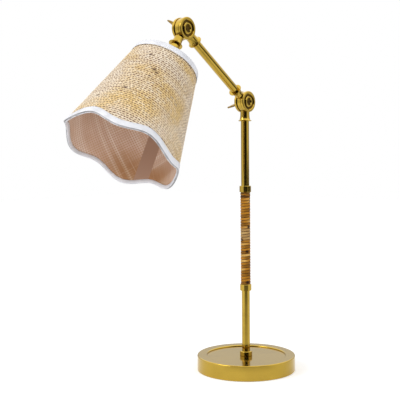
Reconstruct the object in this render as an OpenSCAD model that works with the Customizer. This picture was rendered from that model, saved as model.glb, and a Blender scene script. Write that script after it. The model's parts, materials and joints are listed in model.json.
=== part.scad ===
// Desk lamp: weighted brass base, cane-wrapped stem, swivel arm and a raffia
// shade with a scalloped hem. The origin is the middle of the base on the desk,
// +Z is up, the arm and the shade reach towards -Y and both pivots lie along X.

/* [Base] */
// Width of the round base
base_d = 154; // [142:1:176]
// Height of the base from desk to rim
base_h = 24; // [22:0.5:30]
// Sheet thickness of the spun brass base
base_wall = 1.5; // [1.2:0.1:2]
// Width of the flat rim around the sunk plate
rim_w = 15.5; // [10:0.5:20]
// Depth of the plate below the rim
sunk = 2; // [1:0.5:4]
// Rounding of the rim's outer edge
rim_round = 1.6; // [1:0.1:2.4]
// Gap between the desk and the edge of the brass
edge_lift = 0.8; // [0.5:0.1:1.5]
// Thickness of the felt under the base
pad_t = 2; // [1.6:0.1:3]
// Width of the lead that the grommet passes
lead_d = 7.2; // [6:0.1:8]
// Height of the lead above the desk
lead_z = 9; // [8.5:0.1:10]
// Thickness of the grommet's lips and of its sleeve
grommet_t = 1.5; // [1.2:0.1:1.6]

/* [Stem] */
// Outside width of the stem and arm tubes
tube_d = 12.7; // [12:0.1:14]
// Wall of the tubes
tube_wall = 1.2; // [1:0.1:1.5]
// Height of the elbow pivot above the desk
elbow_z = 420; // [380:1:470]
// Width of the collar at the foot of the stem
collar_d = 19.4; // [18:0.1:24]
// Height of the collar
collar_h = 7.5; // [5:0.5:12]
// Width of the threaded nipple in the base
nipple_d = 10; // [9:0.1:10.2]
// Size of the base nut across its flats
nut_flats = 17; // [15:0.5:19]
// Thickness of the base nut
nut_t = 4.5; // [4:0.1:5]

/* [Grip] */
// Height at which the cane shows above the lower ferrule
grip_z = 135.2; // [110:0.1:160]
// Length of cane that shows between the ferrules
grip_len = 144.6; // [130:0.1:170]
// Thickness of the cane
cane_t = 1.3; // [1:0.1:1.6]
// Turns of cane
cane_turns = 24; // [18:1:24]
// Least gap between two turns
cane_gap = 0.5; // [0.45:0.05:1]
// Outside width of the ferrules
ferrule_d = 18; // [17.6:0.1:21]
// Height of a ferrule
ferrule_h = 9.8; // [9.5:0.1:14]
// Thickness of a ferrule's closed end
ferrule_lip = 1.4; // [1:0.1:2]

/* [Knuckles] */
// Width of the two round cheeks
cheek_d = 32.4; // [31:0.1:38]
// Width over both cheeks
knuckle_w = 17.4; // [16:0.1:20]
// Width of the disc between the cheeks
disc_d = 30; // [26:0.1:30.2]
// Thickness of the disc
disc_w = 7.2; // [6:0.1:8]
// Thickness of a friction washer
washer_t = 0.6; // [0.4:0.1:1]
// Width of the sunk ring in a cheek's outer face
ring_d = 24; // [22:0.1:26]
// Depth of the sunk ring
ring_deep = 2.4; // [1.6:0.1:2.6]
// Width of the pivot bolt
bolt_d = 6; // [5:0.5:6.5]
// Width of the bolt's round head
bolt_head_d = 16.8; // [14:0.1:19]
// Width of the hollow in the bolt's head
hollow_d = 11; // [9:0.1:12]
// Distance from a pivot to the outer face of its flange
neck_len = 30; // [28:0.5:36]
// Width of the flange at the end of each neck
flange_d = 20.4; // [19.4:0.1:22]
// Thickness of that flange
flange_t = 1.4; // [1.2:0.1:3]
// Width of the neck under the cheeks
fork_neck_d = 14.2; // [13:0.1:15]
// Width of the neck on the disc
disc_neck_d = 13; // [12:0.1:14]
// Width of each flared neck where it meets its flange
flare_d = 18.4; // [16:0.1:19.2]
// Length of the spigot that a neck puts into its tube
spigot_len = 10; // [8:0.5:14]
// Width of the way for the lead through each neck
way_d = 4.4; // [3:0.1:4.6]

/* [Wing nuts] */
// Span over both wings
wing_span = 32; // [28:0.5:36]
// Height of the wing tips over the nut's seat
wing_h = 16; // [14:0.5:18]
// Thickness of a wing
wing_t = 2.2; // [1.8:0.1:3]
// Width of the nut's boss
boss_d = 12.6; // [11:0.1:14]
// Height of the nut's boss
boss_h = 7.5; // [6:0.1:9]
// Turn of the elbow's wings from level
elbow_wings = 34; // [0:1:90]
// Turn of the upper knuckle's wings from level
head_wings = -60; // [-90:1:0]

/* [Arm] */
// Distance between the two pivots
arm_len = 171; // [150:1:210]
// Slope of the arm above level
arm_lift = 35; // [20:1:50]

/* [Shade] */
// Slope of the shade's axis below level
shade_dip = 53.7; // [40:0.1:65]
// Distance from the upper pivot to the shade's top edge
shade_drop = 62.6; // [61:0.1:66]
// Width of the shade's wall at its top edge
shade_top_d = 92.6; // [86:0.1:104]
// Width of the shade's wall at its hem
shade_hem_d = 163.4; // [150:0.1:180]
// Height of the shade along its axis
shade_h = 154; // [146:1:170]
// Number of scallops around the hem
scallops = 6; // [6:1:8]
// Rise and fall of the scallops from the mean hem
scallop_h = 4.9; // [3:0.1:7]
// Turn of the scallops about the shade's axis
scallop_turn = -9; // [-30:1:30]
// Thickness of the woven raffia
raffia_t = 1.2; // [0.8:0.1:1.6]
// Thickness of the lining
lining_t = 0.6; // [0.4:0.1:1]
// Width of the shade's wires
wire_d = 2.4; // [2:0.1:2.6]
// Width of the edge tape on the outside
tape_w = 10; // [8:0.5:12]
// Width of the edge tape on the inside
tape_in = 6; // [4:0.5:8]
// Thickness of the edge tape
tape_t = 0.5; // [0.4:0.1:0.8]

/* [Fitting and bulb] */
// Number of arms that carry the shade
spokes = 3; // [3:1:4]
// Width of an arm
spoke_w = 6; // [5:0.5:8]
// Thickness of the shade's hub and of its arms
hub_t = 1.2; // [1:0.1:1.6]
// Distance of the hub below the shade's top edge
hub_drop = 4; // [3:0.5:6]
// Width of the shade thread on the socket
uno_d = 39.2; // [38:0.1:40]
// Width of the hub
hub_d = 50; // [48:0.5:54]
// Height of the shade ring
ring_h = 8; // [6:0.5:10]
// Width of the socket cap
cap_d = 35; // [34:0.5:37]
// Depth of the socket cap with its neck
cap_h = 24; // [22:0.5:25]
// Width of the socket cap's neck
cap_neck_d = 13; // [12.5:0.1:15]
// Length of that neck
cap_neck = 9; // [7:0.5:10]
// Length of the socket's insulator
socket_len = 48; // [46:0.5:52]
// Width of the bulb's screw cap
screw_d = 25.8; // [25:0.1:26.4]
// Length of the bulb's screw cap
screw_len = 24; // [22:0.5:25]
// Width of the bulb
bulb_d = 60; // [50:1:66]
// Length of the bulb's glass
bulb_len = 74; // [66:1:80]

/* [Fits] */
// Clearance between pieces that are fixed together
fit = 0.05; // [0.03:0.01:0.1]
// Clearance around a running pin
run = 0.06; // [0.03:0.01:0.09]
// Clearance between pieces that lie side by side
seat = 0.1; // [0.05:0.01:0.15]
// Clearance under cloth and tape
ease = 0.3; // [0.2:0.05:0.35]
// Clearance between the cane and the tube under it
lay = 0.12; // [0.1:0.01:0.2]

/* [Hidden] */

// Facets of round pieces and of the shade's walls
$fn = 96;
columns = 96;
// Facets along a curved outline
steps = 10;
// Overlap of cutting shapes past the face that they cut
past = 1;

brass = "#b8963e";
dark_brass = "#8c7026";
iron = "#4a4a4c";
felt = "#2d2a28";
rubber = "#1c1c1c";
steel = "#b9bbbd";
cane = "#a8763a";
raffia = "#d9bd8c";
linen = "#b99c86";
white = "#f1efe9";
glass = "#f7f4ec";
black = "#26221f";

// Base
base_r = base_d/2;
plate_z = base_h - sunk;
weight_top = plate_z - base_wall - seat;
weight_z = pad_t;
tube_r = tube_d/2;
bore_r = tube_r - tube_wall;
nipple_r = nipple_d/2;
stem_foot = plate_z + seat;
nut_round = nut_flats/cos(30);
pocket_d = nut_round + 4;
pocket_top = weight_z + nut_t + 2.4;
base_washer_t = 1.4;
nipple_in = 12;
sleeve_d = lead_d + 2*grommet_t;
lip_d = sleeve_d + 2*grommet_t;
wall_bend = base_r - sqrt(base_r*base_r - lip_d*lip_d/4);
channel_w = lip_d + 2*ease;
channel_top = lead_z + lip_d/2 + ease;
pad_inset = 2.5;

// Grip
spigot_r = bore_r - fit;
cane_r = tube_r + lay;
cane_out = cane_r + cane_t;
skirt_r = cane_out + ease;
grip_top = grip_z + grip_len;
skirt_deep = ferrule_h - ferrule_lip;
wind_low = grip_z - skirt_deep + ease;
wind_high = grip_top + skirt_deep - ease;
cane_run = 1.4;
cane_turn_r = 4.2;
cane_flat = 1.7;

// Knuckles
slot_w = disc_w + 2*washer_t + 4*seat;
slot_d = disc_d + 2*ease;
cheek_in = slot_w/2;
cheek_out = knuckle_w/2;
ring_floor = cheek_out - ring_deep;
ring_bevel = 0.7;
neck_foot = cheek_d/2 + 0.8;
flare_start = cheek_d/2 + 3;
head_proud = 0.2;
bolt_head_t = ring_deep + head_proud - seat;
hollow_deep = 1.5;
driver_w = 1.4;
lock_t = 1.2;
nut_seat = ring_floor + 2*seat + lock_t;
neck_round = 0.4;
tang_t = disc_w - 2*seat;
tang_w = sqrt(pow(disc_neck_d - 2*neck_round, 2) - disc_w*disc_w);

// Arm and head
elbow_at = [0, 0, elbow_z];
head_at = elbow_at + arm_len*[0, -cos(arm_lift), sin(arm_lift)];
tube_top = elbow_z - neck_len;
arm_turn = [90 - arm_lift, 0, 0];
shade_turn = [90 + shade_dip, 0, 0];

// Shade: u runs down the slant from the top edge and v stands out of the wall
shade_lean = atan((shade_hem_d - shade_top_d)/2/shade_h);
hem_mean = shade_h/cos(shade_lean);
wire_r = wire_d/2;
wall_mid = (raffia_t - lining_t)/2;
wire_u = tape_t + fit + wire_r;
wall_u = wire_u + wire_r + 2*seat;
raffia_in = seat/2;
raffia_out = raffia_in + raffia_t;
lining_out = -seat/2;
lining_in = lining_out - lining_t;
tape_gap = max(wire_r + fit, (raffia_out - lining_in)/2 + ease);
tape_out = wall_mid + tape_gap + tape_t;
tape_back = wall_mid - tape_gap - tape_t;

// Fitting, measured along the shade's axis from the upper pivot
hub_s = shade_drop + hub_drop;
shoulder_t = 2.2;
shoulder_d = uno_d + 4;
cap_s = neck_len + seat;
cap_roof = cap_s + cap_neck;
cap_shoulder = cap_roof + 7;
insulator_s = cap_shoulder + 0.4;
insulator_end = insulator_s + socket_len;
cap_wall = 0.8;
insulator_d = cap_d - 2*cap_wall - 2*seat;
shell_wall = 0.5;
screw_bore_d = screw_d + 2*ease + 2*shell_wall + 2*seat;
well_s = insulator_s + 8;
contact_h = 3.2;
bulb_s = well_s + contact_h + ease;
tip_h = 1.6;
screw_s = bulb_s + tip_h + 1.4;
glass_s = screw_s + screw_len;
glass_wall = 1;
lock_flats = 14;
lock_nut_t = 3.5;
head_spigot = cap_neck + cap_wall + lock_nut_t + 2;

// Points of a quarter-ellipse flare that starts along the axis and ends square to it
function flare(r0, z0, r1, z1) =
  [for (i = [0:steps]) let (a = 90*i/steps)
    [r0 + (r1 - r0)*(1 - cos(a)), z0 + (z1 - z0)*sin(a)]];

// Points of an arc about c
function arc(c, r, a0, a1) =
  [for (i = [0:steps]) let (a = a0 + (a1 - a0)*i/steps) c + r*[cos(a), sin(a)]];

// Points of a quadratic curve from p to q that bends towards k
function bend(p, k, q) =
  [for (i = [0:steps]) let (t = i/steps) (1 - t)*(1 - t)*p + 2*t*(1 - t)*k + t*t*q];

// Point of the shade's wall, u down the slant, v out of the wall, at angle a
function wall_point(u, v, a) =
  let (
    r = shade_top_d/2 + u*sin(shade_lean) + v*cos(shade_lean),
    s = shade_drop + u*cos(shade_lean) - v*sin(shade_lean)
  ) [r*cos(a), r*sin(a), s];

// Length of the slant at angle a, down to the scalloped edge
function hem(a) = hem_mean + scallop_h*cos(scallops*(a - scallop_turn));

// Triangles of a closed ring of outlines, each with n points
function ring_faces(count, n) =
  [for (i = [0:count - 1]) for (j = [0:n - 1])
    let (
      k = (i + 1) % count,
      m = (j + 1) % n,
      p = i*n + j,
      q = i*n + m,
      s = k*n + j,
      t = k*n + m
    ) each [[p, q, s], [q, t, s]]];

// Triangles of an open tube of outlines, each with n points, with flat ends
function tube_faces(count, n) =
  [
    for (i = [0:count - 2]) for (j = [0:n - 1])
      let (
        m = (j + 1) % n,
        p = i*n + j,
        q = i*n + m,
        s = (i + 1)*n + j,
        t = (i + 1)*n + m
      ) each [[p, q, s], [q, t, s]],
    for (j = [1:n - 2]) [0, j + 1, j],
    for (j = [1:n - 2]) let (e = (count - 1)*n) [e, e + j, e + j + 1]
  ];

module at_elbow() translate(elbow_at) children();

module at_head() translate(head_at) children();

// Turns a piece drawn along +Z so that it runs up the arm
module up_arm() rotate(arm_turn) children();

// Puts a piece drawn along +Z, from the upper pivot, on the shade's axis
module on_shade_axis() at_head() rotate(shade_turn) children();

// Lays a piece drawn along +Z along +X
module along_x() rotate([0, 90, 0]) children();

// Ring of the shade's wall whose section is a function of the angle
module shade_band(section) {
  points = [for (i = [0:columns - 1]) let (a = 360*i/columns)
    for (p = section(a)) wall_point(p[0], p[1], a)];
  polyhedron(points, ring_faces(columns, len(section(0))), convexity = 6);
}

module base_shell() {
  inner = base_r - rim_w;
  color(brass) difference() {
    rotate_extrude() polygon(concat(
      [[nipple_r + fit, plate_z - base_wall], [nipple_r + fit, plate_z], [inner, plate_z]],
      arc([inner + rim_round, base_h - rim_round], rim_round, 180, 90),
      arc([base_r - rim_round, base_h - rim_round], rim_round, 90, 0),
      [
        [base_r, edge_lift],
        [base_r - base_wall, edge_lift],
        [base_r - base_wall, base_h - base_wall],
        [inner + base_wall, base_h - base_wall],
        [inner + base_wall, plate_z - base_wall]
      ]
    ));
    translate([0, base_r, lead_z]) rotate([90, 0, 0])
      cylinder(d = sleeve_d + 2*fit, h = 4*base_wall, center = true);
  }
}

module base_weight() {
  reach = base_r - base_wall - seat;
  color(iron) difference() {
    union() {
      translate([0, 0, weight_z]) cylinder(r = reach, h = weight_top - weight_z);
      translate([0, 0, weight_top - past])
        difference() {
          cylinder(r = reach, h = past + sunk - seat);
          translate([0, 0, -past]) cylinder(r = base_r - rim_w + base_wall + seat, h = 3*past + sunk);
        }
    }
    translate([0, 0, -past]) cylinder(r = nipple_r + seat, h = base_h);
    translate([0, 0, weight_z - past]) cylinder(d = pocket_d, h = pocket_top - weight_z + past);
    translate([-channel_w/2, 0, weight_z - past])
      cube([channel_w, base_r, channel_top - weight_z + past]);
  }
}

module base_pad() {
  color(felt) cylinder(r = base_r - pad_inset, h = pad_t - fit);
}

module base_washer() {
  color(steel) translate([0, 0, pocket_top - seat - base_washer_t]) difference() {
    cylinder(d = nut_round + 2, h = base_washer_t);
    translate([0, 0, -past]) cylinder(r = nipple_r + seat, h = base_washer_t + 2*past);
  }
}

module base_nut() {
  top = pocket_top - base_washer_t - 2*seat;
  color(steel) translate([0, 0, top - nut_t]) difference() {
    cylinder(d = nut_round, h = nut_t, $fn = 6);
    translate([0, 0, -past]) cylinder(r = nipple_r + fit, h = nut_t + 2*past);
  }
}

module base_nipple() {
  low = pocket_top - base_washer_t - 2*seat - nut_t + 0.5;
  color(steel) translate([0, 0, low]) difference() {
    cylinder(r = nipple_r, h = stem_foot + nipple_in - low);
    translate([0, 0, -past])
      cylinder(r = nipple_r - 1.5, h = stem_foot + nipple_in - low + 2*past);
  }
}

module cord_grommet() {
  outer = base_r + fit;
  inner = base_r - base_wall - wall_bend - fit;
  color(rubber) translate([0, 0, lead_z]) rotate([-90, 0, 0]) rotate_extrude() polygon([
    [lead_d/2, inner - grommet_t],
    [lip_d/2 - neck_round, inner - grommet_t],
    [lip_d/2, inner - grommet_t + neck_round],
    [lip_d/2, inner],
    [sleeve_d/2, inner],
    [sleeve_d/2, outer],
    [lip_d/2, outer],
    [lip_d/2, outer + grommet_t - neck_round],
    [lip_d/2 - neck_round, outer + grommet_t],
    [lead_d/2, outer + grommet_t]
  ]);
}

module stem_collar() {
  color(brass) translate([0, 0, stem_foot]) rotate_extrude() polygon(concat(
    [[tube_r + fit, 0], [collar_d/2 - neck_round, 0], [collar_d/2, neck_round]],
    arc([collar_d/2 - 1.2, collar_h - 1.2], 1.2, 0, 90),
    [[tube_r + fit, collar_h]]
  ));
}

// Tube along +Z from its foot
module tube(length) {
  difference() {
    cylinder(r = tube_r, h = length);
    translate([0, 0, -past]) cylinder(r = bore_r, h = length + 2*past);
  }
}

module stem_tube() {
  color(brass) translate([0, 0, stem_foot]) tube(tube_top - stem_foot - seat);
}

// Ferrule with its closed end at the origin and its skirt towards +Z
module ferrule() {
  bead = 0.5;
  rotate_extrude() polygon([
    [tube_r + fit, 0],
    [ferrule_d/2 - bead, 0],
    [ferrule_d/2, bead],
    [ferrule_d/2, ferrule_h - bead],
    [ferrule_d/2 - bead, ferrule_h],
    [skirt_r, ferrule_h],
    [skirt_r, ferrule_lip],
    [tube_r + fit, ferrule_lip]
  ]);
}

module lower_ferrule() {
  color(brass) translate([0, 0, grip_z - ferrule_h]) ferrule();
}

module upper_ferrule() {
  color(brass) translate([0, 0, grip_top + ferrule_h]) mirror([0, 0, 1]) ferrule();
}

// The cane's route on the unrolled tube: it leaves each ferrule straight along the
// stem, bends round onto the helix and climbs at a steady rate
rings_per_turn = 24;
cane_mid = cane_r + cane_t/2;
round_len = 2*PI*cane_mid;
bend_rise = cane_run + cane_turn_r;
climb = (wind_high - wind_low - 2*bend_rise)/(cane_turns - 0.3);
cane_angle = atan(climb/round_len);
cane_w = climb*cos(cane_angle) - cane_gap;
bend_steps = 5;

// Each entry is the distance round the tube, the height and the heading
cane_start = concat(
  [[0, wind_low, 90]],
  [for (i = [0:bend_steps]) let (h = 90 - (90 - cane_angle)*i/bend_steps)
    [cane_turn_r*(1 - sin(h)), wind_low + cane_run + cane_turn_r*cos(h), h]]
);
joined = cane_start[len(cane_start) - 1];
helix_rise = wind_high + wind_low - 2*joined[1];
helix_len = helix_rise/tan(cane_angle);
helix_steps = round(rings_per_turn*helix_len/round_len);
cane_helix = [for (i = [1:helix_steps - 1])
  [joined[0] + helix_len*i/helix_steps, joined[1] + helix_rise*i/helix_steps, cane_angle]];
cane_end = [for (i = [len(cane_start) - 1:-1:0]) let (p = cane_start[i])
  [2*joined[0] + helix_len - p[0], wind_high + wind_low - p[1], p[2]]];
cane_route = concat(cane_start, cane_helix, cane_end);

// Half-round section of the cane: share of its width and of its thickness
cane_section = [[-0.5, 0], [0.5, 0], [0.5, 0.45], [0.24, 1], [-0.24, 1], [-0.5, 0.45]];

// Width of the cane at heading h, trimmed where it lies along the tube
function trimmed(h) = min(cane_w, cane_flat/sin(h));

function cane_point(p, q) =
  let (
    across = q[0]*trimmed(p[2]),
    a = 360*(p[0] - across*sin(p[2]))/round_len,
    r = cane_r + q[1]*cane_t
  ) [r*cos(a), r*sin(a), p[1] + across*cos(p[2])];

cane_rings = [for (p = cane_route) [for (q = cane_section) cane_point(p, q)]];

// Distance from a point to the segment from a to b
function to_edge(p, a, b) =
  let (t = min(1, max(0, (p - a)*(b - a)/((b - a)*(b - a))))) norm(p - a - t*(b - a));

// Least gap between the points along a turn's upper edge and the lower edge of the next turn
near_turn = floor(0.7*rings_per_turn);
cane_least = min([
  for (i = [0:len(cane_rings) - 2 - near_turn])
    for (k = [i + near_turn:min(i + 2*near_turn, len(cane_rings) - 2)])
      for (e = [[1, 0], [2, 5]]) to_edge(cane_rings[i][e[0]], cane_rings[k][e[1]], cane_rings[k + 1][e[1]])
]);

module rattan_wrap() {
  echo(turns = helix_len/round_len, least_gap = cane_least);
  color(cane) polyhedron(
    [for (ring = cane_rings) each ring],
    tube_faces(len(cane_rings), len(cane_section)),
    convexity = 20
  );
}

// Flared neck along +Z from the pivot, with its flange and, past it, its spigot
module neck(neck_d, start, spigot) {
  face = neck_len - flange_t;
  rotate_extrude() polygon(concat(
    [[way_d/2, start], [neck_d/2 - neck_round, start], [neck_d/2, start + neck_round]],
    flare(neck_d/2, flare_start, flare_d/2, face),
    [
      [flange_d/2 - neck_round, face],
      [flange_d/2, face + neck_round],
      [flange_d/2, neck_len - neck_round],
      [flange_d/2 - neck_round, neck_len],
      [spigot_r, neck_len],
      [spigot_r, neck_len + spigot - neck_round],
      [spigot_r - neck_round, neck_len + spigot],
      [way_d/2, neck_len + spigot]
    ]
  ));
}

// Round cheek on the +X side, with its sunk ring
module cheek() {
  crown = 1.3;
  along_x() rotate_extrude() polygon(concat(
    [[0, cheek_in], [cheek_d/2 - neck_round, cheek_in], [cheek_d/2, cheek_in + neck_round]],
    arc([cheek_d/2 - crown, cheek_out - crown], crown, 0, 90),
    [
      [ring_d/2 + ring_bevel, cheek_out],
      [ring_d/2, cheek_out - ring_bevel],
      [ring_d/2, ring_floor],
      [0, ring_floor]
    ]
  ));
}

// Fork with its neck towards -Z
module fork() {
  difference() {
    union() {
      cheek();
      mirror([1, 0, 0]) cheek();
      difference() {
        mirror([0, 0, 1]) neck(fork_neck_d, ring_d/2 + ring_bevel, spigot_len);
        along_x() cylinder(d = slot_d, h = slot_w, center = true);
      }
    }
    along_x() cylinder(d = bolt_d + 2*fit, h = knuckle_w + 2*past, center = true);
  }
}

// Disc that turns in a fork, with a flat tang and then its neck towards +Z
module swivel_disc(spigot) {
  edge = 0.6;
  difference() {
    union() {
      along_x() rotate_extrude() polygon([
        [0, -disc_w/2],
        [disc_d/2 - edge, -disc_w/2],
        [disc_d/2, edge - disc_w/2],
        [disc_d/2, disc_w/2 - edge],
        [disc_d/2 - edge, disc_w/2],
        [0, disc_w/2]
      ]);
      translate([-tang_t/2, -tang_w/2, disc_d/4])
        cube([tang_t, tang_w, neck_foot + neck_round - disc_d/4]);
      neck(disc_neck_d, neck_foot, spigot);
    }
    along_x() cylinder(d = bolt_d + 2*run, h = disc_w + 2*past, center = true);
    cylinder(d = way_d, h = neck_foot + past);
  }
}

// Friction washers on both sides of the disc
module washers() {
  for (side = [-1, 1])
    translate([side*(cheek_in - seat - washer_t/2), 0, 0]) along_x() difference() {
      cylinder(d = disc_d - 1, h = washer_t, center = true);
      cylinder(d = bolt_d + 2*seat, h = washer_t + 2*past, center = true);
    }
}

// Pivot bolt with its hollow, slotted head on the +X side
module bolt() {
  top = ring_floor + seat + bolt_head_t;
  tail = nut_seat + boss_h + 1.5;
  edge = 0.8;
  difference() {
    along_x() rotate_extrude() polygon([
      [0, -tail],
      [bolt_d/2 - edge, -tail],
      [bolt_d/2, edge - tail],
      [bolt_d/2, ring_floor + seat],
      [bolt_head_d/2, ring_floor + seat],
      [bolt_head_d/2, top - edge],
      [bolt_head_d/2 - edge, top],
      [hollow_d/2 + edge/2, top],
      [hollow_d/2 - edge/2, top - hollow_deep],
      [bolt_d/2, top - hollow_deep],
      [bolt_d/2 - edge, top - hollow_deep + edge],
      [0, top - hollow_deep + edge]
    ]);
    translate([top, 0, 0]) cube([2*hollow_deep + 0.4, bolt_d + 2, driver_w], center = true);
  }
}

module lock_washer() {
  along_x() translate([0, 0, -ring_floor - seat - lock_t]) difference() {
    cylinder(d = boss_d + 3, h = lock_t);
    translate([0, 0, -past]) cylinder(d = bolt_d + 2*seat, h = lock_t + 2*past);
  }
}

// Wing nut on the -X side, its two pointed wings along Y
module wing_nut() {
  root = bolt_d/2 + 1;
  tip = [wing_span/2, wing_h];
  outline = concat(
    bend([root, 1.6], [wing_span*0.36, 2.4], tip),
    bend(tip - [1.2, 0.2], [wing_span*0.22, wing_h*0.55], [root, boss_h - 0.6])
  );
  translate([-nut_seat, 0, 0]) rotate([0, -90, 0]) difference() {
    union() {
      rotate_extrude() polygon([
        [0, 0],
        [boss_d/2 - 0.5, 0],
        [boss_d/2, 0.5],
        [boss_d/2, 1.8],
        [boss_d/2 - 1.4, boss_h - 0.8],
        [boss_d/2 - 2.2, boss_h],
        [0, boss_h]
      ]);
      for (side = [0, 180])
        rotate([0, 0, side]) rotate([90, 0, 90])
          linear_extrude(height = wing_t, center = true) polygon(outline);
    }
    translate([0, 0, -past]) cylinder(d = bolt_d + 2*run, h = boss_h + 2*past);
  }
}

module elbow_fork() color(brass) at_elbow() fork();

module elbow_washers() color(dark_brass) at_elbow() washers();

module elbow_bolt() color(brass) at_elbow() bolt();

module elbow_lock_washer() color(steel) at_elbow() lock_washer();

module elbow_wing_nut() color(dark_brass) at_elbow() rotate([elbow_wings, 0, 0]) wing_nut();

module elbow_disc() color(brass) at_elbow() up_arm() swivel_disc(spigot_len);

module arm_tube() {
  color(brass) at_elbow() up_arm() translate([0, 0, neck_len + seat])
    tube(arm_len - 2*neck_len - 2*seat);
}

module head_fork() color(brass) at_head() up_arm() fork();

module head_washers() color(dark_brass) at_head() washers();

module head_bolt() color(brass) at_head() bolt();

module head_lock_washer() color(steel) at_head() lock_washer();

module head_wing_nut() color(dark_brass) at_head() rotate([head_wings, 0, 0]) wing_nut();

module head_disc() color(brass) on_shade_axis() swivel_disc(head_spigot);

module socket_cap() {
  outer = cap_d/2;
  inner = outer - cap_wall;
  throat = cap_neck_d/2 + 2.5;
  rise = 2.4;
  color(brass) on_shade_axis() rotate_extrude() polygon(concat(
    [
      [spigot_r + fit, cap_s],
      [cap_neck_d/2 - neck_round, cap_s],
      [cap_neck_d/2, cap_s + neck_round],
      [cap_neck_d/2, cap_roof]
    ],
    bend([throat, cap_roof], [outer - 1, cap_roof + rise], [outer, cap_shoulder]),
    [[outer, cap_s + cap_h], [inner, cap_s + cap_h]],
    bend([inner, cap_shoulder], [inner - 1, cap_roof + rise + cap_wall], [throat, cap_roof + cap_wall]),
    [[spigot_r + fit, cap_roof + cap_wall]]
  ));
}

module socket_locknut() {
  color(steel) on_shade_axis() translate([0, 0, cap_roof + cap_wall + seat]) difference() {
    cylinder(d = lock_flats/cos(30), h = lock_nut_t, $fn = 6);
    translate([0, 0, -past]) cylinder(r = spigot_r + fit, h = lock_nut_t + 2*past);
  }
}

module socket_insulator() {
  r = insulator_d/2;
  seat_s = hub_s - seat;
  color(black) on_shade_axis() rotate_extrude() polygon([
    [spigot_r + 1, insulator_s],
    [r, insulator_s],
    [r, seat_s - shoulder_t - 1],
    [shoulder_d/2 - 0.4, seat_s - shoulder_t],
    [shoulder_d/2, seat_s - shoulder_t + 0.4],
    [shoulder_d/2, seat_s],
    [uno_d/2, seat_s],
    [uno_d/2, hub_s + hub_t + ring_h + 3],
    [r, hub_s + hub_t + ring_h + 5],
    [r, insulator_end - 0.8],
    [r - 0.8, insulator_end],
    [screw_bore_d/2, insulator_end],
    [screw_bore_d/2, well_s],
    [spigot_r + 1, well_s]
  ]);
}

module socket_screw_shell() {
  outer = screw_bore_d/2 - seat;
  color(brass) on_shade_axis() translate([0, 0, well_s + contact_h - 1]) difference() {
    cylinder(r = outer, h = insulator_end - well_s - contact_h - 1);
    translate([0, 0, -past]) cylinder(r = outer - shell_wall, h = socket_len);
  }
}

module socket_contact() {
  base_t = 1;
  color(brass) on_shade_axis() translate([0, 0, well_s + fit]) {
    cylinder(r = spigot_r + 2.5, h = base_t);
    cylinder(r = 2.5, h = contact_h - fit);
  }
}

// Ring nut with finger notches that clamps the hub
module shade_ring() {
  outer = hub_d/2 - 1;
  notches = 18;
  color(black) on_shade_axis() translate([0, 0, hub_s + hub_t + seat]) difference() {
    cylinder(r = outer, h = ring_h);
    translate([0, 0, -past]) cylinder(d = uno_d + 2*seat, h = ring_h + 2*past);
    for (i = [0:notches - 1])
      rotate([0, 0, 360*i/notches]) translate([outer + 1, 0, -past])
        cylinder(r = 1.8, h = ring_h + 2*past, $fn = 24);
  }
}

top_wire = wall_point(wire_u, wall_mid, 0);

// Washer that the ring nut clamps against the socket's shoulder
module shade_hub() {
  color(white) on_shade_axis() translate([0, 0, hub_s]) difference() {
    cylinder(d = hub_d, h = hub_t);
    translate([0, 0, -past]) cylinder(d = uno_d + 2*seat, h = hub_t + 2*past);
  }
}

// Flat arms, welded to the hub's edge and to the inside of the top wire
module shade_spokes() {
  foot = hub_d/2 + fit;
  tip = sqrt(pow(top_wire[0] - wire_r - fit, 2) - spoke_w*spoke_w/4);
  side = [[foot, hub_s], [tip, top_wire[2] - hub_t/2], [tip, top_wire[2] + hub_t/2], [foot, hub_s + hub_t]];
  color(white) on_shade_axis() for (i = [0:spokes - 1])
    rotate([0, 0, 90 + 360*i/spokes]) rotate([90, 0, 0])
      linear_extrude(height = spoke_w, center = true) polygon(side);
}

module shade_top_wire() {
  color(white) on_shade_axis() translate([0, 0, top_wire[2]]) rotate_extrude()
    translate([top_wire[0], 0]) circle(r = wire_r, $fn = 32);
}

module shade_hem_wire() {
  sides = 8;
  color(white) on_shade_axis() shade_band(function(a)
    [for (j = [0:sides - 1]) let (b = 360*j/sides)
      [hem(a) - wire_u + wire_r*cos(b), wall_mid - wire_r*sin(b)]]);
}

module shade_raffia() {
  color(raffia) on_shade_axis() shade_band(function(a) [
    [wall_u, raffia_in],
    [wall_u, raffia_out],
    [hem(a) - wall_u, raffia_out],
    [hem(a) - wall_u, raffia_in]
  ]);
}

module shade_lining() {
  color(linen) on_shade_axis() shade_band(function(a) [
    [wall_u, lining_in],
    [wall_u, lining_out],
    [hem(a) - wall_u, lining_out],
    [hem(a) - wall_u, lining_in]
  ]);
}

// Folded tape over an edge at distance e down the slant, its leaves towards sense
function tape_section(e, sense) = [
  [e, tape_back],
  [e, tape_out],
  [e + sense*tape_w, tape_out],
  [e + sense*tape_w, tape_out - tape_t],
  [e + sense*tape_t, tape_out - tape_t],
  [e + sense*tape_t, tape_back + tape_t],
  [e + sense*tape_in, tape_back + tape_t],
  [e + sense*tape_in, tape_back]
];

module top_trim() {
  profile = [for (p = tape_section(0, 1)) let (q = wall_point(p[0], p[1], 0)) [q[0], q[2]]];
  slit = spoke_w + 2*ease;
  color(white) on_shade_axis() difference() {
    rotate_extrude() polygon(profile);
    for (i = [0:spokes - 1])
      rotate([0, 0, 90 + 360*i/spokes])
        translate([hub_d/2, -slit/2, top_wire[2] - 2*hub_t])
          cube([top_wire[0] - hub_d/2, slit, tape_in + wire_d]);
  }
}

module hem_trim() {
  color(white) on_shade_axis() shade_band(function(a)
    [for (j = [7:-1:0]) tape_section(hem(a), -1)[j]]);
}

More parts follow.
